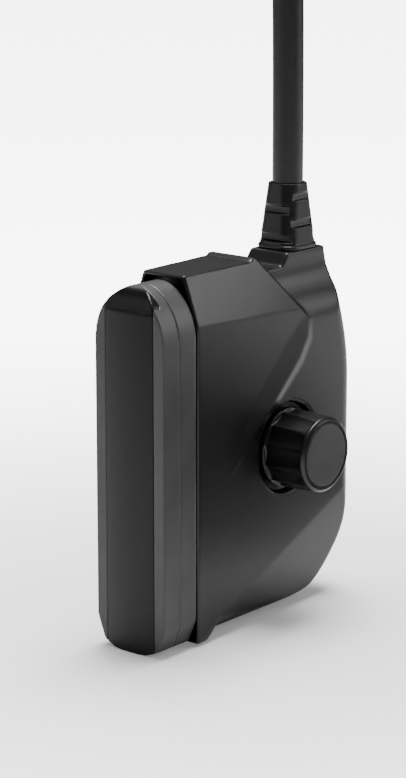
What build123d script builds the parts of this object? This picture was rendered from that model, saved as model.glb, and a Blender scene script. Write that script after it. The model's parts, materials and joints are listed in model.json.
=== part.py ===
"""Sonar transducer on a clamp pivot: sonar module, housing with cable neck, clamp knob, cable and plug.

Millimetres, +Z up, standing on the foot of the sonar module. The acoustic window faces -Y and the
clamp knob is on +X. The origin is the centre of the footprint, on the surface that it stands on.
"""

import os
from math import cos, radians, sin, sqrt, tan

from build123d import *

os.makedirs("parts", exist_ok=True)

# ---------------------------------------------------------------- driving dimensions
depth = 98.3  # window crown to the back of the housing
crown = 0.8  # how far the window bulges past its side rails
half_width = 13.75  # half the thickness of the module and of the housing
housing_top = 117.7
knob_reach = 29.1  # middle plane to the knob's cap, and to the tip of the bolt on the far side

face_y = -depth / 2 + crown
seam_y = face_y + 7.5  # bezel meets module shell
joint_y = face_y + 16.1  # module meets housing
back_y = depth / 2

# sonar module outline: an arch of two radii over straight sides, on a chamfered foot
arch_radius = 19.0
apex_radius = 10.0
spring_z = 98.5  # where the straight sides end
foot_half = 6.0
heel_x, heel_z = 10.8, 1.8
ankle_z = 9.5
apex_centre_z = spring_z + sqrt((arch_radius - apex_radius) ** 2 - (arch_radius - half_width) ** 2)
blend_x = (half_width - arch_radius) * apex_radius / (apex_radius - arch_radius)
blend_z = apex_centre_z + sqrt(apex_radius**2 - blend_x**2)
apex_z = apex_centre_z + apex_radius

# acoustic window
window_half = 9.55
window_depth = 3.4
roll_z = 108.3  # the window rolls back above this height
roll_radius = 8.0
port_half = 7.5  # opening behind the window that the array looks through
port_low, port_high = 10.0, 104.0

# module shell
shell_wall = 2.4
shell_floor = 2.0
spigot_inset = 2.6
spigot_length = 4.8

# housing
bulkhead_y = joint_y + 5.0
bulkhead = 3.0
cavity_half = 9.8
edge_radius = 7.0
neck_half = 7.7
cable_y = face_y + 77.6
neck_top = 117.3
neck_front, neck_back = face_y + 68.2, face_y + 87.3
flank_low = 94.5  # where the neck's flanks leave the flat sides
ridge_y, ridge_z = face_y + 51.2, housing_top
ridge_slope = 1.03

# pivot and knob
pivot_y, pivot_z = face_y + 61.5, 55.6
pocket_radius, pocket_depth = 15.0, 3.5
boss_radius = 17.0
bolt_radius = 4.0
thread_radius = 3.93  # outside of the thread, a little under the shank
bore_fit = 0.05
sleeve_radius = 6.0
hub_radius, hub_height = 14.0, 2.4
hub_teeth = 40
knob_base, knob_top = 13.0, 12.2
knob_foot = 12.15
cap_radius = 10.0
bolt_head_across = 13.0
washer_radius, washer_thick = 9.0, 1.5

# cable, coil and plug
cable_radius = 5.0
relief_top = 138.4
turn_radius = 55.0  # middle of the coil's bundle
bundle = 40.0  # width and height of the bundle
strap = 1.3  # the coil lies on its straps
coil_x, coil_y = 135.1, 70.3
entry_stub = 40.0  # part of the coil: the cable's straight last stretch, up to its outer turn
tail_stub = 36.3  # part of the coil: the cable climbing out of its top turn
plug_chord = 45.0  # the plug lies on the coil, along -Y, this far to the right of its middle

side_plane = Plane.YZ


def across(y):
    """A plane facing the window's way at y, with its axes along X and Z."""
    return Plane.XZ.offset(-y)


def finish(piece, label):
    piece.part.label = label
    export_step(piece.part, f"parts/{label}.step")


# ---------------------------------------------------------------- shared outlines
with BuildSketch() as module_face:
    with BuildLine():
        FilletPolyline(
            (-half_width, spring_z),
            (-half_width, ankle_z),
            (-heel_x, heel_z),
            (-foot_half, 0),
            (foot_half, 0),
            (heel_x, heel_z),
            (half_width, ankle_z),
            (half_width, spring_z),
            radius=(6.0, 2.5, 3.0, 3.0, 2.5, 6.0),
        )
        TangentArc((half_width, spring_z), (blend_x, blend_z), tangent=(0, 1))
        ThreePointArc((blend_x, blend_z), (0, apex_z), (-blend_x, blend_z))
        TangentArc((-half_width, spring_z), (-blend_x, blend_z), tangent=(0, 1))
    make_face()

module_shape = module_face.sketch_local

# side view of the housing, in Y and Z
lip_y = face_y + 48.2
lip_height = 0.8
valley_z = 113.4

# ---------------------------------------------------------------- front of the module
with BuildPart() as front_blank:
    with BuildSketch(Plane.XY.offset(-1)):
        with BuildLine():
            Polyline(
                (window_half, face_y),
                (half_width, face_y),
                (half_width, seam_y),
                (-half_width, seam_y),
                (-half_width, face_y),
                (-window_half, face_y),
            )
            ThreePointArc((-window_half, face_y), (0, face_y - crown), (window_half, face_y))
        make_face()
    extrude(amount=apex_z + 2)
    with BuildSketch(across(face_y - 2)):
        add(module_shape)
    extrude(amount=-(seam_y - face_y + 4), mode=Mode.INTERSECT)
    with BuildSketch(side_plane):
        with BuildLine():
            Line((face_y - 3, roll_z), (face_y, roll_z))
            RadiusArc((face_y, roll_z), (face_y + roll_radius, roll_z + roll_radius), roll_radius)
            Polyline(
                (face_y + roll_radius, roll_z + roll_radius),
                (face_y + roll_radius, apex_z + 5),
                (face_y - 3, apex_z + 5),
                (face_y - 3, roll_z),
            )
        make_face()
    extrude(amount=half_width + 1, both=True, mode=Mode.SUBTRACT)

# ---------------------------------------------------------------- window, bezel and gasket
port_mid = (port_low + port_high) / 2
port_size = (2 * port_half, port_high - port_low)
seat_width = 1.2
seat_size = (port_size[0] + 2 * seat_width, port_size[1] + 2 * seat_width)
seat_depth = 0.8
strip = (2 * window_half, window_depth + 10, 2 * apex_z)
strip_place = (0, face_y + window_depth - strip[1] / 2, apex_z / 2)

with BuildPart() as acoustic_window:
    add(front_blank)
    with Locations(strip_place):
        Box(*strip, mode=Mode.INTERSECT)
finish(acoustic_window, "acoustic_window")

with BuildPart() as front_bezel:
    add(front_blank)
    with Locations(strip_place):
        Box(*strip, mode=Mode.SUBTRACT)
    with BuildSketch(across(face_y)):
        with Locations((0, port_mid)):
            RectangleRounded(*port_size, 2)
    extrude(amount=-depth, mode=Mode.SUBTRACT)
    with BuildSketch(across(face_y + window_depth)):
        with Locations((0, port_mid)):
            RectangleRounded(*seat_size, 3)
    extrude(amount=-seat_depth, mode=Mode.SUBTRACT)
finish(front_bezel, "front_bezel")

with BuildPart() as window_gasket:
    with BuildSketch(across(face_y + window_depth)):
        with Locations((0, port_mid)):
            RectangleRounded(*seat_size, 3)
            RectangleRounded(*port_size, 2, mode=Mode.SUBTRACT)
    extrude(amount=-seat_depth)
finish(window_gasket, "window_gasket")

# ---------------------------------------------------------------- sonar array behind the window
layer_gap = 0.4  # clearance between the array and the port
array_size = (2 * (port_half - layer_gap), port_size[1] - 1)
matching_y = face_y + window_depth
matching_thick, element_thick, backing_thick = 1.2, 2.2, 5.0
element_y = matching_y + matching_thick
backing_y = element_y + element_thick
array_back = backing_y + backing_thick
element_count = 24
element_pitch = array_size[1] / element_count
element_gap = 0.6
element_width = array_size[0] - 1

with BuildPart() as matching_layer:
    with BuildSketch(across(matching_y)):
        with Locations((0, port_mid)):
            RectangleRounded(*array_size, 2)
    extrude(amount=-matching_thick)
finish(matching_layer, "matching_layer")

with BuildPart() as piezo_elements:
    with BuildSketch(across(element_y)):
        with Locations((0, port_mid)):
            with GridLocations(0, element_pitch, 1, element_count):
                Rectangle(element_width, element_pitch - element_gap)
    extrude(amount=-element_thick)
finish(piezo_elements, "piezo_elements")

with BuildPart() as array_backing:
    with BuildSketch(across(backing_y)):
        with Locations((0, port_mid)):
            Rectangle(element_width, array_size[1])
    extrude(amount=-backing_thick)
finish(array_backing, "array_backing")

carrier_depth = 4.6
with BuildPart() as array_carrier:
    with BuildSketch(across(seam_y)):
        add(module_shape)
        offset(amount=-shell_wall - 0.3, mode=Mode.REPLACE)
        with Locations((0, port_mid)):
            Rectangle(element_width + 0.2, array_size[1] + 0.2, mode=Mode.SUBTRACT)
    extrude(amount=-carrier_depth)
finish(array_carrier, "array_carrier")

# ---------------------------------------------------------------- module shell, screws and seal
module_screw_places = [(-5.2, 7.0), (5.2, 7.0), (-3.0, 106.5), (3.0, 106.5)]
screw_radius, screw_head, screw_head_height = 1.25, 1.9, 1.6
socket_radius = 0.9
floor_y = joint_y - shell_floor
wire_z = 86.0
wire_slot = (8, 12)
seal_outer, seal_inner = spigot_inset + 1.0, spigot_inset + 2.6
seal_groove = 1.2
spigot_back = joint_y + spigot_length
plate_thick = bulkhead
plate_y = bulkhead_y

with BuildPart() as module_shell:
    with BuildSketch(across(seam_y)):
        add(module_shape)
    extrude(amount=seam_y - joint_y)
    fillet(module_shell.faces().sort_by(Axis.Y)[-1].edges(), 1.3)
    with BuildSketch(across(joint_y - 0.5)):
        add(module_shape)
        offset(amount=-spigot_inset, mode=Mode.REPLACE)
    extrude(amount=-spigot_length - 0.5)
    with BuildSketch(across(seam_y)):
        add(module_shape)
        offset(amount=-shell_wall, mode=Mode.REPLACE)
    extrude(amount=seam_y - floor_y, mode=Mode.SUBTRACT)
    with BuildSketch(across(joint_y + 1)):
        with Locations((0, 58)):
            RectangleRounded(14, 72, 3)
    extrude(amount=-spigot_length, mode=Mode.SUBTRACT)
    with BuildSketch(across(floor_y - 1)):
        with Locations((0, wire_z)):
            RectangleRounded(*wire_slot, 2)
        with Locations(*module_screw_places):
            Circle(screw_radius + 0.05)
    extrude(amount=-spigot_length - 4, mode=Mode.SUBTRACT)
    with BuildSketch(across(spigot_back - seal_groove)):
        add(module_shape)
        offset(amount=-seal_outer, mode=Mode.REPLACE)
    extrude(amount=-seal_groove, mode=Mode.SUBTRACT)
    with BuildSketch(across(spigot_back - seal_groove)):
        add(module_shape)
        offset(amount=-seal_inner, mode=Mode.REPLACE)
        with Locations((0, 58)):
            RectangleRounded(14, 72, 3, mode=Mode.SUBTRACT)
        with Locations(*module_screw_places):
            Circle(screw_radius + 0.05, mode=Mode.SUBTRACT)
    extrude(amount=-seal_groove)
finish(module_shell, "module_shell")

with BuildPart() as module_seal:
    with BuildSketch(across(spigot_back - seal_groove)):
        add(module_shape)
        offset(amount=-seal_outer, mode=Mode.REPLACE)
    extrude(amount=-(bulkhead_y - spigot_back + seal_groove))
    with BuildSketch(across(spigot_back - seal_groove)):
        add(module_shape)
        offset(amount=-seal_inner, mode=Mode.REPLACE)
    extrude(amount=-(bulkhead_y - spigot_back + seal_groove), mode=Mode.SUBTRACT)
finish(module_seal, "module_seal")

with BuildPart() as module_screws:
    with BuildSketch(across(floor_y)):
        with Locations(*module_screw_places):
            Circle(screw_head)
    extrude(amount=screw_head_height)
    with BuildSketch(across(floor_y)):
        with Locations(*module_screw_places):
            Circle(screw_radius)
    extrude(amount=floor_y - plate_y - 2)
    with BuildSketch(across(floor_y - screw_head_height)):
        with Locations(*module_screw_places):
            RegularPolygon(socket_radius, 6)
    extrude(amount=-screw_head_height / 2, mode=Mode.SUBTRACT)
finish(module_screws, "module_screws")

# ---------------------------------------------------------------- bulkhead plate
plate_screw_places = [(-8.8, 6.8), (8.8, 6.8), (-6.6, 105.0), (6.6, 105.0)]
plate_screw_length = 8.0
plate_outline = [(-11.5, 4), (11.5, 4), (11.5, 98), (8.6, 108), (-8.6, 108), (-11.5, 98)]

with BuildPart() as bulkhead_plate:
    with BuildSketch(across(plate_y)):
        Polygon(*plate_outline, align=None)
        with Locations(*module_screw_places):
            Circle(screw_radius, mode=Mode.SUBTRACT)
        with Locations(*plate_screw_places):
            Circle(screw_radius, mode=Mode.SUBTRACT)
        with Locations((0, wire_z)):
            RectangleRounded(*wire_slot, 2, mode=Mode.SUBTRACT)
    extrude(amount=-plate_thick)
    with BuildSketch(across(plate_y)):
        with Locations(*plate_screw_places):
            Circle(screw_head)
    extrude(amount=-screw_head_height, mode=Mode.SUBTRACT)
finish(bulkhead_plate, "bulkhead_plate")

with BuildPart() as plate_screws:
    with BuildSketch(across(plate_y)):
        with Locations(*plate_screw_places):
            Circle(screw_head)
    extrude(amount=-screw_head_height)
    with BuildSketch(across(plate_y + screw_head_height)):
        with Locations(*plate_screw_places):
            Circle(screw_radius)
    extrude(amount=-plate_screw_length)
    with BuildSketch(across(plate_y)):
        with Locations(*plate_screw_places):
            RegularPolygon(socket_radius, 6)
    extrude(amount=-screw_head_height / 2, mode=Mode.SUBTRACT)
finish(plate_screws, "plate_screws")

# ---------------------------------------------------------------- housing
def facing_x(x):
    """A plane square to the pivot at x, centred on it, with its axes along Y and Z."""
    return Plane(origin=(x, pivot_y, pivot_z), x_dir=(0, 1, 0), z_dir=(1, 0, 0))


pivot_axis = Axis((0, pivot_y, pivot_z), (1, 0, 0))
pivot_section = Plane(origin=(0, pivot_y, pivot_z), x_dir=(1, 0, 0), z_dir=(0, -1, 0))
slant_front = [(14.25, 101.13), (6.99, 121), (20, 121), (20, 101.13)]
slant_back = [(14.05, 96.5), (10.52, 121), (20, 121), (20, 96.5)]
flank_mid = ((half_width + neck_half) / 2, (flank_low + 113) / 2)
above = 130  # higher than anything that is cut
recess_depth = bulkhead_y - joint_y
recess_half = [(12.55, 2.2), (12.55, 101.6), (7.35, 116.4)]
recess_outline = recess_half + [(-x, z) for x, z in reversed(recess_half)]
cavity_y = plate_y + plate_thick
neck_bore = cable_radius + 0.2
gland_radius, gland_z = 6.4, 106.0
oring_grooves = (-9.0, 6.0)
oring_radius, oring_width = 7.4, 1.8

with BuildPart() as slant_cut:
    with BuildSketch(across(joint_y - 1)):
        Polygon(*slant_front, align=None)
    with BuildSketch(across(face_y + 98)):
        Polygon(*slant_back, align=None)
    loft(ruled=True)

with BuildPart() as flank_cut:
    with BuildSketch(across(face_y + 40)):
        with BuildLine():
            TangentArc((half_width, flank_low), flank_mid, tangent=(0, 1))
            TangentArc((neck_half, 113), flank_mid, tangent=(0, -1))
            Polyline(
                (neck_half, 113),
                (neck_half, above),
                (20, above),
                (20, flank_low),
                (half_width, flank_low),
            )
        make_face()
    extrude(amount=-80)
    with BuildSketch(side_plane):
        with BuildLine():
            Polyline(
                (ridge_y, ridge_z),
                (ridge_y + 60, ridge_z - 60 * ridge_slope),
                (ridge_y + 60, above + 12),
                (ridge_y - 12, above + 12),
                (ridge_y, ridge_z),
            )
        make_face()
    extrude(amount=30, both=True, mode=Mode.INTERSECT)

with BuildPart() as cavity:
    with BuildSketch(side_plane):
        with BuildLine():
            FilletPolyline(
                (cavity_y, 10),
                (face_y + 62, 10),
                (face_y + 80, 15),
                (face_y + 90, 28),
                (face_y + 91.5, 42),
                (face_y + 91.5, 74),
                (face_y + 86, 90),
                (face_y + 60, 90),
                (face_y + 48, 102),
                (cavity_y, 102),
                radius=2.5,
            )
            Line((cavity_y, 102), (cavity_y, 10))
        make_face()
    extrude(amount=cavity_half, both=True)
    with BuildSketch(facing_x(0)):
        Circle(boss_radius)
    extrude(amount=cavity_half, both=True, mode=Mode.SUBTRACT)
    fillet(cavity.faces().sort_by(Axis.Y)[-1].edges().filter_by(Axis.Z), 2)

# the ridge that runs down and forward from the neck: place and direction on the side, then how far it
# spreads to its upper and lower side, and its height
ridge_stations = [
    ((30.7, 51.3), (0.7275, 0.686), 0.6, 0.4, 0.05),
    ((48, 67.6), (0.7275, 0.686), 7, 2.6, 0.8),
    ((66, 84.6), (0.7275, 0.686), 8, 3.6, 1.1),
    ((70.3, 90.5), (0.35, 0.937), 7, 3.2, 0.9),
    ((71.3, 96.5), (0, 1), 4, 2, 0.15),
]
with BuildPart() as ridge:
    for (along, up), (step_y, step_z), upper, lower, height in ridge_stations:
        origin = (half_width, face_y + along, up)
        with BuildSketch(Plane(origin=origin, x_dir=(0, -step_z, step_y), z_dir=(0, step_y, step_z))):
            Polygon((-lower, -0.6), (upper, -0.6), (upper, 0), (0, height), (-lower, 0), align=None)
    loft(ruled=True)

# the lower corner falls away behind a straight crease
crease_low = Vector(half_width, face_y + 32.8, 9.3)
crease_high = Vector(half_width, face_y + 80.3, 30.6)
crease_way = (crease_high - crease_low).normalized()
crease_tilt = 6.0
crease_reach = 50
crease_start = crease_low - crease_way * crease_reach
with BuildPart() as crease_cut:
    with BuildSketch(Plane(origin=crease_start, x_dir=(0, crease_way.Z, -crease_way.Y), z_dir=crease_way)):
        fall = crease_reach * tan(radians(crease_tilt))
        Polygon((0, 0), (crease_reach, fall), (crease_reach, -4), (0, -4), align=None)
    extrude(amount=3 * crease_reach)

with BuildPart() as housing:
    with BuildSketch(side_plane):
        with BuildLine():
            Polyline(
                (joint_y, 0.8),
                (joint_y, housing_top),
                (lip_y, housing_top),
                (lip_y, housing_top + lip_height),
                (lip_y + 2.2, housing_top + lip_height),
                (face_y + 55.4, valley_z),
                (face_y + 65, valley_z),
                (neck_front, neck_top),
                (neck_back, neck_top),
            )
            Spline((neck_back, neck_top), (face_y + 95.2, 90), (back_y, 72), tangents=((0.2, -1), (0, -1)))
            Line((back_y, 72), (back_y, 44))
            Spline(
                (back_y, 44),
                (face_y + 94.8, 20),
                (face_y + 82.5, 6.4),
                (face_y + 58, 1.9),
                tangents=((0, -1), (-1, 0)),
            )
            Polyline((face_y + 58, 1.9), (joint_y + 6.4, 1.9), (joint_y + 5.4, 0.8), (joint_y, 0.8))
        make_face()
    extrude(amount=half_width, both=True)
    outline = housing.faces().filter_by(Axis.X).edges()
    fillet(outline.filter_by(lambda e: e.center().Y > face_y + 66 and e.center().Z < 116), edge_radius)
    add(slant_cut.part, mode=Mode.SUBTRACT)
    add(slant_cut.part.mirror(Plane.YZ), mode=Mode.SUBTRACT)
    add(flank_cut.part, mode=Mode.SUBTRACT)
    add(flank_cut.part.mirror(Plane.YZ), mode=Mode.SUBTRACT)
    add(crease_cut.part, mode=Mode.SUBTRACT)
    add(crease_cut.part.mirror(Plane.YZ), mode=Mode.SUBTRACT)
    add(ridge.part)
    add(ridge.part.mirror(Plane.YZ))
    with BuildSketch(across(joint_y)):
        Polygon(*recess_outline, align=None)
    extrude(amount=-recess_depth, mode=Mode.SUBTRACT)
    with BuildSketch(across(plate_y)):
        Polygon(*plate_outline, align=None)
    extrude(amount=-plate_thick, mode=Mode.SUBTRACT)
    with BuildSketch(across(cavity_y)):
        with Locations(*plate_screw_places):
            Circle(screw_radius)
    extrude(amount=-(plate_screw_length - plate_thick + screw_head_height), mode=Mode.SUBTRACT)
    add(cavity.part, mode=Mode.SUBTRACT)
    with BuildSketch(facing_x(half_width - pocket_depth)):
        Circle(pocket_radius)
    extrude(amount=pocket_depth + 1, mode=Mode.SUBTRACT)
    with BuildSketch(facing_x(-half_width - 1)):
        Circle(sleeve_radius)
    extrude(amount=2 * half_width + 2, mode=Mode.SUBTRACT)
    for groove_x in oring_grooves:
        with BuildSketch(facing_x(groove_x - oring_width / 2)):
            Circle(oring_radius)
        extrude(amount=oring_width, mode=Mode.SUBTRACT)
    with BuildSketch(Plane.XY.offset(88)):
        with Locations((0, cable_y)):
            Circle(neck_bore)
    extrude(amount=40, mode=Mode.SUBTRACT)
    with BuildSketch(Plane.XY.offset(gland_z)):
        with Locations((0, cable_y)):
            Circle(gland_radius)
    extrude(amount=20, mode=Mode.SUBTRACT)
finish(housing, "housing")

# ---------------------------------------------------------------- processing board
board_x, board_thick = -5.0, 1.6
board_front, board_back = face_y + 27, face_y + 43
board_low, board_high = 14.0, 98.0
board_middle = ((board_front + board_back) / 2, (board_low + board_high) / 2)
board_size = (board_back - board_front, board_high - board_low)
board_hole_spacing = (board_size[0] - 5, board_size[1] - 5)
board_screw = 0.9
chip_x = board_x + board_thick
chips = [(25, 9, 9), (42, 11, 11), (60, 7, 9), (73, 5, 5)]
chip_height = 1.2
connector_z, connector_size = 88.0, (6, 6)
connector_height = 4.4


def facing_board(x):
    """A plane square to X at x, centred on the processing board."""
    return Plane(origin=(x, *board_middle), x_dir=(0, 1, 0), z_dir=(1, 0, 0))


with BuildPart() as processing_board:
    with BuildSketch(facing_board(board_x)):
        RectangleRounded(*board_size, 1.5)
        with GridLocations(*board_hole_spacing, 2, 2):
            Circle(board_screw, mode=Mode.SUBTRACT)
    extrude(amount=board_thick)
finish(processing_board, "processing_board")

with BuildPart() as board_standoffs:
    with BuildSketch(facing_board(-cavity_half)):
        with GridLocations(*board_hole_spacing, 2, 2):
            Circle(2)
            Circle(board_screw, mode=Mode.SUBTRACT)
    extrude(amount=board_x + cavity_half)
finish(board_standoffs, "board_standoffs")

with BuildPart() as board_screws:
    with BuildSketch(facing_board(chip_x)):
        with GridLocations(*board_hole_spacing, 2, 2):
            Circle(1.7)
    extrude(amount=1.1)
    with BuildSketch(facing_board(chip_x)):
        with GridLocations(*board_hole_spacing, 2, 2):
            Circle(board_screw)
    extrude(amount=-(board_thick + 3))
finish(board_screws, "board_screws")

with BuildPart() as board_chips:
    for chip_z, chip_width, chip_tall in chips:
        with BuildSketch(Plane(origin=(chip_x, board_middle[0], chip_z), x_dir=(0, 1, 0), z_dir=(1, 0, 0))):
            Rectangle(chip_width, chip_tall)
        extrude(amount=chip_height)
finish(board_chips, "board_chips")

with BuildPart() as board_connector:
    with BuildSketch(Plane(origin=(chip_x, board_middle[0], connector_z), x_dir=(0, 1, 0), z_dir=(1, 0, 0))):
        Rectangle(*connector_size)
    extrude(amount=connector_height)
finish(board_connector, "board_connector")

with BuildPart() as tilt_sensor:
    with BuildSketch(Plane(origin=(chip_x, board_middle[0], 81.0), x_dir=(0, 1, 0), z_dir=(1, 0, 0))):
        Rectangle(4, 3.4)
    extrude(amount=1.0)
finish(tilt_sensor, "tilt_sensor")

ribbon_x, ribbon_thick, ribbon_width = -1.0, 0.5, 5.0
connector_front = board_middle[0] - connector_size[0] / 2
connector_back = board_middle[0] + connector_size[0] / 2
with BuildPart() as array_ribbon:
    with BuildSketch(Plane(origin=(ribbon_x, 0, 0), x_dir=(0, 1, 0), z_dir=(1, 0, 0))):
        with Locations(((array_back + connector_front) / 2, connector_z)):
            Rectangle(connector_front - array_back, ribbon_width)
    extrude(amount=ribbon_thick)
finish(array_ribbon, "array_ribbon")

core_radius = 0.7
core_bend = 4.0
inner_end = 98.0
cores = [(-2.6, -1.6), (-1.0, -0.6), (0.4, 0.6)]
with BuildPart() as cable_cores:
    for core_x, core_dz in cores:
        with BuildLine() as core_path:
            FilletPolyline(
                (core_x, cable_y, inner_end),
                (core_x, cable_y, connector_z + core_dz),
                (core_x, connector_back, connector_z + core_dz),
                radius=core_bend,
            )
        with BuildSketch(Plane(origin=(core_x, cable_y, inner_end), z_dir=(0, 0, -1))):
            Circle(core_radius)
        sweep(path=core_path.line)
finish(cable_cores, "cable_cores")

# ---------------------------------------------------------------- pivot sleeve, hub, washer and bolt
sleeve_start, sleeve_step, sleeve_end = -15.6, -6.0, half_width - pocket_depth
hub_face = -half_width - hub_height
bolt_socket_x, bolt_head_end = 18.0, 23.3
bolt_groove = (-2.0, -0.4)
relieved_radius = 4.4
groove_radius = 3.2
thread_relief, relief_radius = (-16.2, -14.9), 3.3  # the undercut where the thread runs out at the shank
washer_x = sleeve_end + 0.1

with BuildPart() as pivot_sleeve:
    with BuildSketch(facing_x(sleeve_start)):
        Circle(sleeve_radius)
        Circle(bolt_radius + bore_fit, mode=Mode.SUBTRACT)
    extrude(amount=sleeve_end - sleeve_start)
    with BuildSketch(facing_x(sleeve_step)):
        Circle(relieved_radius)
    extrude(amount=sleeve_end - sleeve_step, mode=Mode.SUBTRACT)
finish(pivot_sleeve, "pivot_sleeve")

with BuildPart() as sleeve_orings:
    for groove_x in oring_grooves:
        with BuildSketch(facing_x(groove_x - oring_width / 2)):
            Circle(oring_radius)
            Circle(sleeve_radius, mode=Mode.SUBTRACT)
        extrude(amount=oring_width)
finish(sleeve_orings, "sleeve_orings")

with BuildPart() as serrated_hub:
    with BuildSketch(facing_x(hub_face)):
        Circle(hub_radius)
        Circle(sleeve_radius, mode=Mode.SUBTRACT)
    extrude(amount=hub_height)
    with BuildSketch(facing_x(hub_face)):
        with PolarLocations(hub_radius - 3, hub_teeth):
            Rectangle(8, 0.9)
    extrude(amount=0.8, mode=Mode.SUBTRACT)
finish(serrated_hub, "serrated_hub")

with BuildPart() as thrust_washer:
    with BuildSketch(facing_x(washer_x)):
        Circle(washer_radius)
        Circle(bolt_radius + bore_fit, mode=Mode.SUBTRACT)
    extrude(amount=washer_thick)
finish(thrust_washer, "thrust_washer")

with BuildPart() as clamp_bolt:
    with BuildSketch(facing_x(hub_face)):
        Circle(bolt_radius)
    extrude(amount=bolt_socket_x - hub_face)
    with BuildSketch(facing_x(-knob_reach)):
        Circle(thread_radius)
    extrude(amount=knob_reach + hub_face)
    chamfer(clamp_bolt.faces().sort_by(Axis.X)[0].edges(), 0.6)
    with BuildSketch(facing_x(bolt_socket_x)):
        RegularPolygon(bolt_head_across / 2, 6, major_radius=False)
    extrude(amount=bolt_head_end - bolt_socket_x)
    with BuildSketch(facing_x(bolt_groove[0])):
        Circle(bolt_radius + 1)
        Circle(groove_radius, mode=Mode.SUBTRACT)
    extrude(amount=bolt_groove[1] - bolt_groove[0], mode=Mode.SUBTRACT)
    with BuildSketch(facing_x(thread_relief[0])):
        Circle(bolt_radius + 1)
        Circle(relief_radius, mode=Mode.SUBTRACT)
    extrude(amount=thread_relief[1] - thread_relief[0], mode=Mode.SUBTRACT)
finish(clamp_bolt, "clamp_bolt")

with BuildPart() as bolt_oring:
    with BuildSketch(facing_x(bolt_groove[0])):
        Circle(relieved_radius - 0.2)
        Circle(groove_radius, mode=Mode.SUBTRACT)
    extrude(amount=bolt_groove[1] - bolt_groove[0])
finish(bolt_oring, "bolt_oring")

# ---------------------------------------------------------------- clamp knob
cap_seat = knob_reach - 1.8
grip_flutes, flute_radius, flute_depth = 12, 9.0, 0.55
with BuildPart() as knob_grip:
    with BuildSketch(pivot_section):
        with BuildLine():
            Polyline(
                (knob_foot, bolt_radius),
                (knob_foot, knob_base),
                (knob_reach - 0.9, knob_top),
                (knob_reach, knob_top - 0.9),
                (knob_reach, cap_radius),
                (cap_seat, cap_radius),
                (cap_seat, 8.5),
                (bolt_head_end, 8.5),
                (bolt_head_end, bolt_radius),
                (knob_foot, bolt_radius),
            )
        make_face()
    revolve(axis=pivot_axis)
    with BuildSketch(facing_x(bolt_socket_x)):
        RegularPolygon(bolt_head_across / 2, 6, major_radius=False)
    extrude(amount=bolt_head_end - bolt_socket_x, mode=Mode.SUBTRACT)
    with BuildSketch(facing_x(knob_foot + 1.5)):
        with PolarLocations(knob_top - flute_depth + flute_radius, grip_flutes):
            Circle(flute_radius)
    extrude(amount=knob_reach - knob_foot - 3, mode=Mode.SUBTRACT)
finish(knob_grip, "knob_grip")

with BuildPart() as knob_cap:
    with BuildSketch(facing_x(cap_seat)):
        Circle(cap_radius)
    extrude(amount=knob_reach - cap_seat)
finish(knob_cap, "knob_cap")

# ---------------------------------------------------------------- gland, strain relief and inner cable
with BuildPart() as cable_gland:
    with BuildSketch(Plane.XY.offset(gland_z)):
        with Locations((0, cable_y)):
            Circle(gland_radius)
            Circle(cable_radius, mode=Mode.SUBTRACT)
    extrude(amount=neck_top - gland_z)
finish(cable_gland, "cable_gland")

relief_base, relief_tip = (15.4, 16.8), (11.4, 11.4)
relief_corner = 4.5
flange_top = 118.6
side_slots = [(119.8, 2.4), (128.9, 2.4)]
end_slots = [(124.4, 2.5), (133.1, 2.3)]
slot_core = 5.25

with BuildPart() as strain_relief:
    with BuildSketch(Plane(origin=(0, cable_y, neck_top))):
        RectangleRounded(*relief_base, relief_corner)
    extrude(amount=flange_top - neck_top)
    with BuildSketch(Plane(origin=(0, cable_y, flange_top))):
        RectangleRounded(relief_base[0] - 1, relief_base[1] - 1, relief_corner - 0.5)
    with BuildSketch(Plane(origin=(0, cable_y, relief_top))):
        RectangleRounded(*relief_tip, relief_corner)
    loft()
    for slot_z, slot_height in side_slots:
        for side in (-1, 1):
            with Locations((0, cable_y + side * (slot_core + 5), slot_z + slot_height / 2)):
                Box(30, 10, slot_height, mode=Mode.SUBTRACT)
    for slot_z, slot_height in end_slots:
        for side in (-1, 1):
            with Locations((side * (slot_core + 5), cable_y, slot_z + slot_height / 2)):
                Box(10, 11, slot_height, mode=Mode.SUBTRACT)
    with BuildSketch(Plane(origin=(0, cable_y, neck_top - 1))):
        Circle(cable_radius)
    extrude(amount=relief_top - neck_top + 2, mode=Mode.SUBTRACT)
finish(strain_relief, "strain_relief")

with BuildPart() as inner_cable:
    with BuildSketch(Plane(origin=(0, cable_y, inner_end))):
        Circle(cable_radius)
    extrude(amount=relief_top - inner_end)
finish(inner_cable, "inner_cable")

# ---------------------------------------------------------------- cable, from the relief to the coil
def unit(start, end):
    return (Vector(*end) - Vector(*start)).normalized()


def bend_radii(points):
    """Radius at each inner point, so that every arc takes 0.45 of its shorter run."""
    radii = []
    for before, corner, after in zip(points, points[1:], points[2:]):
        shorter = min((Vector(*corner) - Vector(*before)).length, (Vector(*after) - Vector(*corner)).length)
        turn = unit(before, corner).get_angle(unit(corner, after))
        radii.append(0.45 * shorter / tan(radians(turn / 2)))
    return radii


# up out of the relief, over an arch, down to the floor and along it to the coil's outer turn
lead_points = [
    (0, 29.25, 138.4),
    (0, 29.25, 197),
    (-0.6, 26.7, 256),
    (6.4, 58, 292),
    (15.6, 105.6, 293.6),
    (22.4, 139, 260),
    (22.9, 140.6, 172),
    (23.4, 138.6, 108),
    (22.6, 136.6, 48.6),
    (38, 137.1, 21.8),
    (64.8, 138, 6.3),
    (92.8, 138.97, 6.3),
]

# the end that leaves the coil's top turn, climbs onto it and meets the plug
tail_face = (coil_x + plug_chord, coil_y + 17.1, 46.3)
tail_points = [
    tail_face,
    (coil_x + plug_chord, coil_y + 2.7, 50.43),
    (coil_x + plug_chord, coil_y - 12.3, 50.43),
]


def square_to(point, direction):
    return Plane(origin=point, z_dir=direction)


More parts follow.
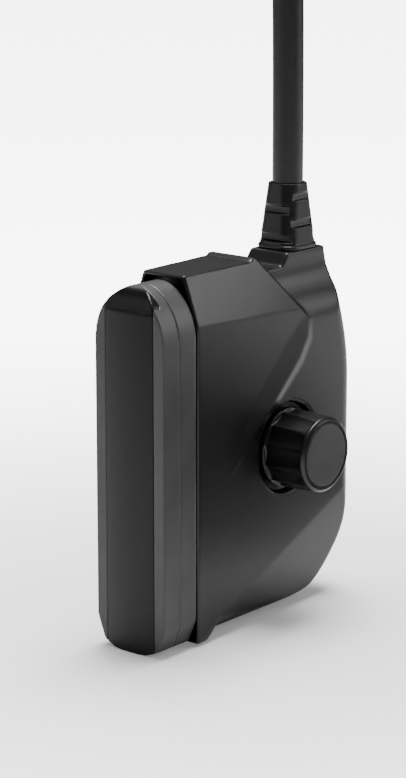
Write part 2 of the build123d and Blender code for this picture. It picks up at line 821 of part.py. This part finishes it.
with BuildPart() as cable_lead:
    with BuildLine() as lead_path:
        FilletPolyline(*lead_points, radius=bend_radii(lead_points))
    with BuildSketch(square_to(lead_points[0], (0, 0, 1))):
        Circle(cable_radius)
    sweep(path=lead_path.wire())
finish(cable_lead, "cable_lead")

with BuildPart() as cable_tail:
    with BuildLine() as tail_path:
        FilletPolyline(*tail_points, radius=bend_radii(tail_points))
    with BuildSketch(square_to(tail_face, unit(*tail_points[:2]))):
        Circle(cable_radius)
    sweep(path=tail_path.wire())
finish(cable_tail, "cable_tail")

# ---------------------------------------------------------------- coil and its ties
coil_axis = Axis((coil_x, coil_y, 0), (0, 0, 1))
bundle_corner = 9.0
tie_angles = (70, 190, 280)
tie_arc = 10
entry_heading = unit(lead_points[-2], lead_points[-1])


def coil_section(angle):
    """A plane through the coil's axis: its X runs out from the axis at the angle, its Y runs up."""
    out = (cos(radians(angle)), sin(radians(angle)), 0)
    return Plane(origin=(coil_x, coil_y, 0), x_dir=out, z_dir=(out[1], -out[0], 0))


with BuildPart() as cable_coil:
    with BuildSketch(coil_section(0)):
        with Locations((turn_radius, strap + bundle / 2)):
            RectangleRounded(bundle, bundle, bundle_corner)
    revolve(axis=coil_axis)
    with BuildSketch(square_to(lead_points[-1], entry_heading)):
        Circle(cable_radius)
    extrude(amount=entry_stub)
    with BuildSketch(square_to(tail_face, unit(*tail_points[:2]))):
        Circle(cable_radius)
    extrude(amount=-tail_stub)
finish(cable_coil, "cable_coil")

with BuildPart() as cable_ties:
    for tie_angle in tie_angles:
        with BuildSketch(coil_section(tie_angle - tie_arc / 2)):
            with Locations((turn_radius, strap + bundle / 2)):
                RectangleRounded(bundle + 2 * strap, bundle + 2 * strap, bundle_corner + strap)
                RectangleRounded(bundle, bundle, bundle_corner, mode=Mode.SUBTRACT)
        revolve(axis=coil_axis, revolution_arc=tie_arc)
finish(cable_ties, "cable_ties")

# ---------------------------------------------------------------- plug, lying on the coil along -Y
plug_x, plug_start, plug_z = tail_points[-1]
boot_length, boot_start, boot_end = 18.0, 6.0, 8.0
shell_end, shell_radius, flange_radius = 42.0, 7.6, 8.4
flange_end = 24.0
insert_start, insert_end, insert_radius = 34.0, 41.0, 6.6
pin_tip, pin_radius, pin_circle = 46.5, 0.6, 4.2
ring_start, ring_end, ring_radius = 38.0, 39.6, 7.0
collar_start, collar_end = 24.3, 52.0
collar_bore, collar_radius = shell_radius + 0.08, 8.8
collar_grip = (27.3, 46.0)  # the fluted stretch
mouth_start, mouth_radius = 46.8, 7.9  # beyond the pins the collar widens to take a socket's barrel


def along_plug(distance):
    """A plane square to the plug's axis, this far from its boot, facing the way the plug points."""
    return Plane(origin=(plug_x, plug_start - distance, plug_z), x_dir=(1, 0, 0), z_dir=(0, -1, 0))


with BuildPart() as plug_boot:
    with BuildSketch(along_plug(0)):
        Circle(boot_start)
    with BuildSketch(along_plug(boot_length)):
        Circle(boot_end)
    loft()
finish(plug_boot, "plug_boot")

with BuildPart() as plug_shell:
    with BuildSketch(along_plug(boot_length)):
        Circle(flange_radius)
    extrude(amount=flange_end - boot_length)
    with BuildSketch(along_plug(flange_end)):
        Circle(shell_radius)
    extrude(amount=shell_end - flange_end)
    with BuildSketch(along_plug(insert_start)):
        Circle(insert_radius)
    extrude(amount=shell_end - insert_start, mode=Mode.SUBTRACT)
    with BuildSketch(along_plug(ring_start)):
        Circle(shell_radius + 1)
        Circle(ring_radius, mode=Mode.SUBTRACT)
    extrude(amount=ring_end - ring_start, mode=Mode.SUBTRACT)
finish(plug_shell, "plug_shell")

with BuildPart() as plug_oring:
    with BuildSketch(along_plug(ring_start)):
        Circle(shell_radius)
        Circle(ring_radius, mode=Mode.SUBTRACT)
    extrude(amount=ring_end - ring_start)
finish(plug_oring, "plug_oring")

pin_depth = 3.0
with BuildPart() as plug_insert:
    with BuildSketch(along_plug(insert_start)):
        Circle(insert_radius)
    extrude(amount=insert_end - insert_start)
    with BuildSketch(along_plug(insert_end - pin_depth)):
        with PolarLocations(pin_circle, 8):
            Circle(pin_radius)
        Circle(pin_radius)
    extrude(amount=pin_depth, mode=Mode.SUBTRACT)
finish(plug_insert, "plug_insert")

with BuildPart() as plug_pins:
    with BuildSketch(along_plug(insert_end - pin_depth)):
        with PolarLocations(pin_circle, 8):
            Circle(pin_radius)
        Circle(pin_radius)
    extrude(amount=pin_tip - insert_end + pin_depth)
finish(plug_pins, "plug_pins")

with BuildPart() as locking_collar:
    with BuildSketch(along_plug(collar_start)):
        Circle(collar_radius)
        Circle(collar_bore, mode=Mode.SUBTRACT)
    extrude(amount=collar_end - collar_start)
    with BuildSketch(along_plug(mouth_start)):
        Circle(mouth_radius)
    extrude(amount=collar_end - mouth_start, mode=Mode.SUBTRACT)
    with BuildSketch(along_plug(collar_grip[0])):
        with PolarLocations(collar_radius + 0.1, 24):
            Circle(0.5)
    extrude(amount=collar_grip[1] - collar_grip[0], mode=Mode.SUBTRACT)
finish(locking_collar, "locking_collar")
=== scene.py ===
"""Looks of the sonar transducer: camera, cord, softened shells, threaded bolt, materials and light."""

import json
from math import cos, radians, sin, tau

import bpy
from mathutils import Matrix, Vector


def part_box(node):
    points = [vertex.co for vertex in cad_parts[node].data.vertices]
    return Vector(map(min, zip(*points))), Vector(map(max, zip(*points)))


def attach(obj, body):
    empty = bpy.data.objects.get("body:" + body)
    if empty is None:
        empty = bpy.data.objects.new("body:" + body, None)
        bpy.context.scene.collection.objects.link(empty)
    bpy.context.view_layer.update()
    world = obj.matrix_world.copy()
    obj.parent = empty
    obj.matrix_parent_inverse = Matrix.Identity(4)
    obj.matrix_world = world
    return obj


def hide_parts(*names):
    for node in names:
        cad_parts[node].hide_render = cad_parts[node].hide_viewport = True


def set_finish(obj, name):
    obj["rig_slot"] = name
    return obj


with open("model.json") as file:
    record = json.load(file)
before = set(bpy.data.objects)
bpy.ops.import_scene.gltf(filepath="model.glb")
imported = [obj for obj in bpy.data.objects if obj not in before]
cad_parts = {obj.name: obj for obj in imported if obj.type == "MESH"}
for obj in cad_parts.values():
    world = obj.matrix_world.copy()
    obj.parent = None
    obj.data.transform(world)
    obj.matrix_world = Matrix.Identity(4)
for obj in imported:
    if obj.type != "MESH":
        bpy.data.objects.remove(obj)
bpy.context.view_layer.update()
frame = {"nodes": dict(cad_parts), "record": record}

MM = 0.001

# ---------------------------------------------------------------- camera
camera_place = (477.3, -585.38, 261.06)
camera_back = Vector((0.622, -0.7455, 0.239))
lens_data = bpy.data.cameras.new("camera")
lens_data.lens = 112.77
lens_data.sensor_width = 36
camera = bpy.data.objects.new("camera", lens_data)
bpy.context.scene.collection.objects.link(camera)
camera.location = [MM * c for c in camera_place]
camera.rotation_mode = "QUATERNION"
camera.rotation_quaternion = (-camera_back).to_track_quat("-Z", "Y")
bpy.context.scene.camera = camera

# ---------------------------------------------------------------- cord
cable_radius = 5.0
coil_x, coil_y = 135.1, 70.3
outer_turn = 70.0
first_turn_z = 6.3
turn_gap = 10.0
turn_count = 14
points_per_turn = 16
entry_angle = 92.0  # the cable joins the coil's outer turn here and goes round clockwise
step_from, step_length = 268.0, 90.0  # where in a turn it steps to the next radius, and over what angle
long_step = 140.0  # the steps to and from the innermost turn, and its rise, are more gradual
inner_rise_from = 40.0
outer_bulge = 4.0

lead_points = [
    (0, 29.25, 138.4),
    (0, 29.25, 197),
    (-0.6, 26.7, 256),
    (6.4, 58, 292),
    (15.6, 105.6, 293.6),
    (22.4, 139, 260),
    (22.9, 140.6, 172),
    (23.4, 138.6, 108),
    (22.6, 136.6, 48.6),
    (38, 137.1, 21.8),
    (64.8, 138, 6.3),
    (92.8, 138.97, 6.3),
]

# from the top turn, over the tie, across the turns and down to the plug's boot
climb_points = [(70, 141, 37.2), (70, 126, 40.5), (70, 111, 44.5), (70, 97, 47.6)]
across_points = [(14.8, 63, 48.4), (30.4, 50.8, 48.4), (40.8, 34.1, 48.4), (45, 14.7, 49.8)]
tail_end = (coil_x + 45, coil_y - 12.3, 50.43)


def coil_point(radius, angle, z):
    """A control point on a turn, pushed out so that the smooth line has the turn's own radius."""
    control = radius / cos(tau / 2 / points_per_turn)
    return (coil_x + control * cos(radians(angle)), coil_y + control * sin(radians(angle)), z)


def eased(travelled, start, length):
    """How much of a smooth change that starts at an angle and lasts for a length is done."""
    share = min(max((travelled - start) / length, 0), 1)
    return (1 - cos(share * tau / 2)) / 2


def coil_place(travelled):
    """Radius and height in the coil after a travelled angle. Four layers wind inwards, outwards, inwards
    and outwards. The innermost turn climbs to the next layer as it goes round, so two layers share it."""
    radius, z = outer_turn, first_turn_z
    for first in (0, 7):
        for turn, change in ((0, -1), (1, -1), (4, 1), (5, 1)):
            radius += change * turn_gap * eased(travelled, 360 * (first + turn) + step_from, step_length)
        inward_from = 360 * (first + 2) + step_from + step_length - long_step
        radius -= turn_gap * eased(travelled, inward_from, long_step)
        radius += turn_gap * eased(travelled, 360 * (first + 3) + step_from, long_step)
        z += turn_gap * eased(travelled, 360 * (first + 3) + inner_rise_from, long_step)
    half_way = eased(travelled, 360 * 6 + step_from, step_length)
    z += turn_gap * half_way
    radius += outer_bulge * 4 * half_way * (1 - half_way)
    return radius, z


def coil_turns():
    """The points of every turn, from the entry to where the cable climbs out over the coil."""
    points = []
    step = 360 / points_per_turn
    last_angle = 360 * turn_count - 360 + (entry_angle - 145 + 360)
    travelled = step
    while travelled < last_angle:
        radius, z = coil_place(travelled)
        points.append(coil_point(radius, entry_angle - travelled, z))
        travelled += step
    return points


cable_points = list(lead_points) + coil_turns()
cable_points += [coil_point(radius, angle, z) for radius, angle, z in climb_points]
cable_points += [(coil_x + x, coil_y + y, z) for x, y, z in across_points]
cable_points.append(tail_end)

curve = bpy.data.curves.new("cable", "CURVE")
curve.dimensions = "3D"
curve.bevel_depth = 1.0  # each point carries the cable's own radius
curve.bevel_resolution = 6
curve.resolution_u = 6
curve.use_fill_caps = True
line = curve.splines.new("NURBS")
line.points.add(len(cable_points) - 1)
for point, place in zip(line.points, cable_points):
    point.co = (*[MM * c for c in place], 1)
    point.radius = cable_radius * MM
line.order_u = 3
line.use_endpoint_u = True
cable = bpy.data.objects.new("cable", curve)
bpy.context.scene.collection.objects.link(cable)
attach(cable, "transducer")
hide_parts("cable_lead", "cable_coil", "cable_tail")
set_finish(cable, "cable_jacket")


# ---------------------------------------------------------------- softened shells
def soften(node, body, slot, voxel, rounds, keep):
    """A copy of a CAD node with its edges rounded: remeshed finely, smoothed and thinned."""
    mesh = frame["nodes"][node].data.copy()
    piece = bpy.data.objects.new(node + "_soft", mesh)
    bpy.context.scene.collection.objects.link(piece)
    remesh = piece.modifiers.new("remesh", "REMESH")
    remesh.mode = "VOXEL"
    remesh.voxel_size = voxel * MM
    smooth = piece.modifiers.new("smooth", "SMOOTH")
    smooth.factor = 0.5
    smooth.iterations = rounds
    thin = piece.modifiers.new("thin", "DECIMATE")
    thin.ratio = keep
    graph = bpy.context.evaluated_depsgraph_get()
    done = bpy.data.meshes.new_from_object(piece.evaluated_get(graph))
    piece.modifiers.clear()
    piece.data = done
    done.materials.clear()
    done.polygons.foreach_set("use_smooth", [True] * len(done.polygons))
    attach(piece, body)
    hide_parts(node)
    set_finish(piece, slot)
    return piece


soft = {
    "housing": soften("housing", "transducer", "shell_grey", 0.5, 6, 0.5),
    "module_shell": soften("module_shell", "transducer", "bezel_grey", 0.4, 4, 0.5),
    "front_bezel": soften("front_bezel", "transducer", "bezel_grey", 0.35, 3, 0.5),
    "acoustic_window": soften("acoustic_window", "transducer", "window_black", 0.35, 3, 0.5),
    "strain_relief": soften("strain_relief", "transducer", "knob_black", 0.25, 4, 0.5),
    "knob_grip": soften("knob_grip", "knob", "knob_black", 0.25, 3, 0.5),
    "knob_cap": soften("knob_cap", "knob", "cap_grey", 0.2, 3, 0.5),
}


# ---------------------------------------------------------------- threaded bolt
bolt_start, bolt_thread_end, bolt_end = -29.1, -16.4, 18.0
tip_bevel = 0.5
relief_from, relief_to, relief_radius = -16.2, -14.9, 3.3
bolt_radius, thread_radius, thread_pitch, thread_depth = 4.0, 3.93, 1.25, 0.7
head_radius, head_end = 7.5, 23.3


def threaded_bolt():
    knob_low, knob_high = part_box("knob_cap")
    axis_y, axis_z = (knob_low[1] + knob_high[1]) / 2, (knob_low[2] + knob_high[2]) / 2
    around, steps = 40, int((bolt_thread_end - bolt_start) / thread_pitch * 8)
    stations = [bolt_start + i * (bolt_thread_end - bolt_start) / steps for i in range(steps + 1)]
    stations += [relief_from, relief_from + 0.01, relief_to, relief_to + 0.01, bolt_end]
    verts, faces = [], []
    for x in stations:
        ends = min((x - bolt_start) / 0.8, (bolt_thread_end - x) / 1.0)
        strength = min(max(ends, 0), 1)
        for k in range(around):
            turn = k / around
            phase = ((x - bolt_start) / thread_pitch - turn) % 1
            valley = 1 - abs(2 * phase - 1)
            outside = thread_radius if x <= relief_from else bolt_radius
            if relief_from < x <= relief_to:
                outside = relief_radius
            radius = outside - thread_depth * valley * strength - (tip_bevel if x < bolt_start + 0.2 else 0)
            across, up = radius * MM * cos(turn * tau), radius * MM * sin(turn * tau)
            verts.append((x * MM, axis_y + across, axis_z + up))
    for i in range(len(stations) - 1):
        for k in range(around):
            a, b = i * around + k, i * around + (k + 1) % around
            faces.append((a, a + around, b + around, b))
    faces.append(tuple(range(around)))
    faces.append(tuple(reversed(range((len(stations) - 1) * around, len(stations) * around))))
    first = len(verts)
    for x in (bolt_end + 0.01, head_end):
        for k in range(6):
            angle = k * tau / 6
            radius = head_radius * MM
            verts.append((x * MM, axis_y + radius * cos(angle), axis_z + radius * sin(angle)))
    for k in range(6):
        a, b = first + k, first + (k + 1) % 6
        faces.append((a, a + 6, b + 6, b))
    faces.append(tuple(first + k for k in range(6)))
    faces.append(tuple(first + 6 + k for k in reversed(range(6))))
    mesh = bpy.data.meshes.new("clamp_bolt_threaded")
    mesh.from_pydata(verts, [], faces)
    mesh.validate()
    bolt = bpy.data.objects.new("clamp_bolt_threaded", mesh)
    bpy.context.scene.collection.objects.link(bolt)
    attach(bolt, "knob")
    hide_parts("clamp_bolt")
    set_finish(bolt, "steel")
    return bolt


soft["clamp_bolt"] = threaded_bolt()


# ---------------------------------------------------------------- materials
def grained(name, color, roughness, grain, depth, metallic=0.0, specular=0.5, streak=None):
    """A material with a fine moulded or brushed grain, broad mottling and uneven gloss.

    grain is the size of one grain and depth its height, in millimetres."""
    mottle, gloss_spread = 0.15, 0.06
    made = bpy.data.materials.new(name)
    made.use_nodes = True
    nodes, links = made.node_tree.nodes, made.node_tree.links
    shader = nodes["Principled BSDF"]
    shader.inputs["Metallic"].default_value = metallic
    shader.inputs["Specular IOR Level"].default_value = specular
    place = nodes.new("ShaderNodeTexCoord")
    stretch = nodes.new("ShaderNodeMapping")
    stretch.inputs["Scale"].default_value = streak or (1, 1, 1)
    links.new(place.outputs["Object"], stretch.inputs["Vector"])
    fine = nodes.new("ShaderNodeTexNoise")
    fine.inputs["Scale"].default_value = 1 / (grain * MM)
    fine.inputs["Detail"].default_value = 3
    broad = nodes.new("ShaderNodeTexNoise")
    broad.inputs["Scale"].default_value = 60
    broad.inputs["Detail"].default_value = 4
    for texture in (fine, broad):
        links.new(stretch.outputs["Vector"], texture.inputs["Vector"])
    tone = nodes.new("ShaderNodeValToRGB")
    tone.color_ramp.elements[0].position = 0.3
    tone.color_ramp.elements[1].position = 0.7
    tone.color_ramp.elements[0].color = (*[c * (1 - mottle) for c in color], 1)
    tone.color_ramp.elements[1].color = (*[c * (1 + mottle) for c in color], 1)
    links.new(broad.outputs["Fac"], tone.inputs["Fac"])
    links.new(tone.outputs["Color"], shader.inputs["Base Color"])
    gloss = nodes.new("ShaderNodeMapRange")
    gloss.inputs["To Min"].default_value = roughness - gloss_spread
    gloss.inputs["To Max"].default_value = roughness + gloss_spread
    links.new(fine.outputs["Fac"], gloss.inputs["Value"])
    links.new(gloss.outputs["Result"], shader.inputs["Roughness"])
    bump = nodes.new("ShaderNodeBump")
    bump.inputs["Distance"].default_value = depth * MM
    bump.inputs["Strength"].default_value = 0.6
    links.new(fine.outputs["Fac"], bump.inputs["Height"])
    links.new(bump.outputs["Normal"], shader.inputs["Normal"])
    return made


def grey(level, cool=1.03):
    return (level, level, level * cool)


looks = {
    "window_black": grained("window_black", grey(0.0012), 0.34, 0.35, 0.02, specular=0.22),
    "bezel_grey": grained("bezel_grey", grey(0.04), 0.42, 0.4, 0.03, specular=0.35),
    "shell_grey": grained("shell_grey", grey(0.0035), 0.34, 0.4, 0.03, specular=0.4),
    "knob_black": grained("knob_black", grey(0.0035), 0.34, 0.4, 0.03, specular=0.4),
    "cap_grey": grained("cap_grey", grey(0.048), 0.46, 0.4, 0.03),
    "seal_rubber": grained("seal_rubber", grey(0.012), 0.7, 0.5, 0.03),
    "cable_jacket": grained("cable_jacket", grey(0.0025), 0.30, 0.6, 0.04, streak=(1, 1, 0.15)),
    "ceramic": grained("ceramic", (0.55, 0.52, 0.45), 0.6, 0.3, 0.02),
    "steel": grained("steel", (0.58, 0.58, 0.6), 0.3, 0.3, 0.01, metallic=1.0, streak=(0.1, 1, 1)),
    "board_green": grained("board_green", (0.02, 0.13, 0.05), 0.4, 0.8, 0.03),
    "chip_black": grained("chip_black", grey(0.02), 0.6, 0.3, 0.02),
    "standoff_brass": grained("standoff_brass", (0.75, 0.58, 0.28), 0.28, 0.3, 0.01, metallic=1.0),
    "ribbon": grained("ribbon", (0.45, 0.24, 0.06), 0.4, 0.6, 0.02, streak=(1, 0.1, 1)),
    "alloy": grained("alloy", (0.2, 0.205, 0.215), 0.36, 0.3, 0.015, metallic=1.0),
}

node_slot = {part["node"]: part["material_slot"] for part in frame["record"]["subparts"]}
for name, piece in frame["nodes"].items():
    piece.data.materials.clear()
    piece.data.materials.append(looks[node_slot[name]])
for piece in list(soft.values()) + [cable]:
    piece.data.materials.append(looks[piece["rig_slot"]])


# ---------------------------------------------------------------- floor, light and sky
def stage_material():
    made = bpy.data.materials.new("floor")
    made.use_nodes = True
    nodes, links = made.node_tree.nodes, made.node_tree.links
    shader = nodes["Principled BSDF"]
    shader.inputs["Roughness"].default_value = 0.7
    shader.inputs["Specular IOR Level"].default_value = 0.1
    noise = nodes.new("ShaderNodeTexNoise")
    noise.inputs["Scale"].default_value = 3
    tone = nodes.new("ShaderNodeValToRGB")
    tone.color_ramp.elements[0].color = (0.86, 0.86, 0.86, 1)
    tone.color_ramp.elements[1].color = (0.9, 0.9, 0.9, 1)
    links.new(noise.outputs["Fac"], tone.inputs["Fac"])
    links.new(tone.outputs["Color"], shader.inputs["Base Color"])
    # seen from the camera the floor glows, dim around the object as a painted contact shadow and
    # brightening away from it into a white backdrop; it lights nothing
    place = nodes.new("ShaderNodeNewGeometry")
    away = nodes.new("ShaderNodeVectorMath")
    away.operation = "LENGTH"
    links.new(place.outputs["Position"], away.inputs[0])
    # low glow near the object is painted shadow around its base, high glow far off is the white backdrop
    backdrop_glow_and_painted_shadow = nodes.new("ShaderNodeMapRange")
    backdrop_glow_and_painted_shadow.interpolation_type = "SMOOTHSTEP"
    backdrop_glow_and_painted_shadow.inputs["From Min"].default_value = 0.04
    backdrop_glow_and_painted_shadow.inputs["From Max"].default_value = 0.5
    backdrop_glow_and_painted_shadow.inputs["To Min"].default_value = 0.2
    backdrop_glow_and_painted_shadow.inputs["To Max"].default_value = 6.0
    links.new(away.outputs["Value"], backdrop_glow_and_painted_shadow.inputs["Value"])
    ray = nodes.new("ShaderNodeLightPath")
    seen = nodes.new("ShaderNodeMath")
    seen.operation = "MULTIPLY"
    links.new(backdrop_glow_and_painted_shadow.outputs["Result"], seen.inputs[0])
    links.new(ray.outputs["Is Camera Ray"], seen.inputs[1])
    shader.inputs["Emission Color"].default_value = (1, 1, 1, 1)
    links.new(seen.outputs["Value"], shader.inputs["Emission Strength"])
    return made


floor_mesh = bpy.data.meshes.new("floor")
reach = 20.0
corners = [(-reach, -reach, 0), (reach, -reach, 0), (reach, reach, 0), (-reach, reach, 0)]
floor_mesh.from_pydata(corners, [], [(0, 1, 2, 3)])
floor_mesh.materials.append(stage_material())
floor = bpy.data.objects.new("floor", floor_mesh)
bpy.context.scene.collection.objects.link(floor)
floor.location.z = -0.0001

world = bpy.data.worlds.new("world")
bpy.context.scene.world = world
world.use_nodes = True
sky = world.node_tree.nodes["Background"]
sky.inputs["Color"].default_value = (1, 1, 1, 1)
# the backdrop is seen white, and lights the object less than it shows
ray = world.node_tree.nodes.new("ShaderNodeLightPath")
strength = world.node_tree.nodes.new("ShaderNodeMapRange")
strength.inputs["To Min"].default_value = 0.14
strength.inputs["To Max"].default_value = 1.0
world.node_tree.links.new(ray.outputs["Is Camera Ray"], strength.inputs["Value"])
world.node_tree.links.new(strength.outputs["Result"], sky.inputs["Strength"])


def softbox(name, place, target, size, power):
    data = bpy.data.lights.new(name, "AREA")
    data.shape = "RECTANGLE"
    data.size, data.size_y = size
    data.energy = power
    lamp = bpy.data.objects.new(name, data)
    bpy.context.scene.collection.objects.link(lamp)
    lamp.location = place
    lamp.rotation_mode = "QUATERNION"
    lamp.rotation_quaternion = (Vector(target) - Vector(place)).to_track_quat("-Z", "Y")
    return lamp


aim = (0, 0, 0.06)
softbox("overhead", (-0.1, 0.2, 1.1), aim, (0.6, 0.6), 34)
softbox("right_rear", (0.9, 0.9, 0.6), aim, (0.3, 0.8), 6)
softbox("left_front", (-0.7, -0.8, 0.5), aim, (0.4, 0.8), 1.5)

# ---------------------------------------------------------------- update the scene
bpy.context.view_layer.update()
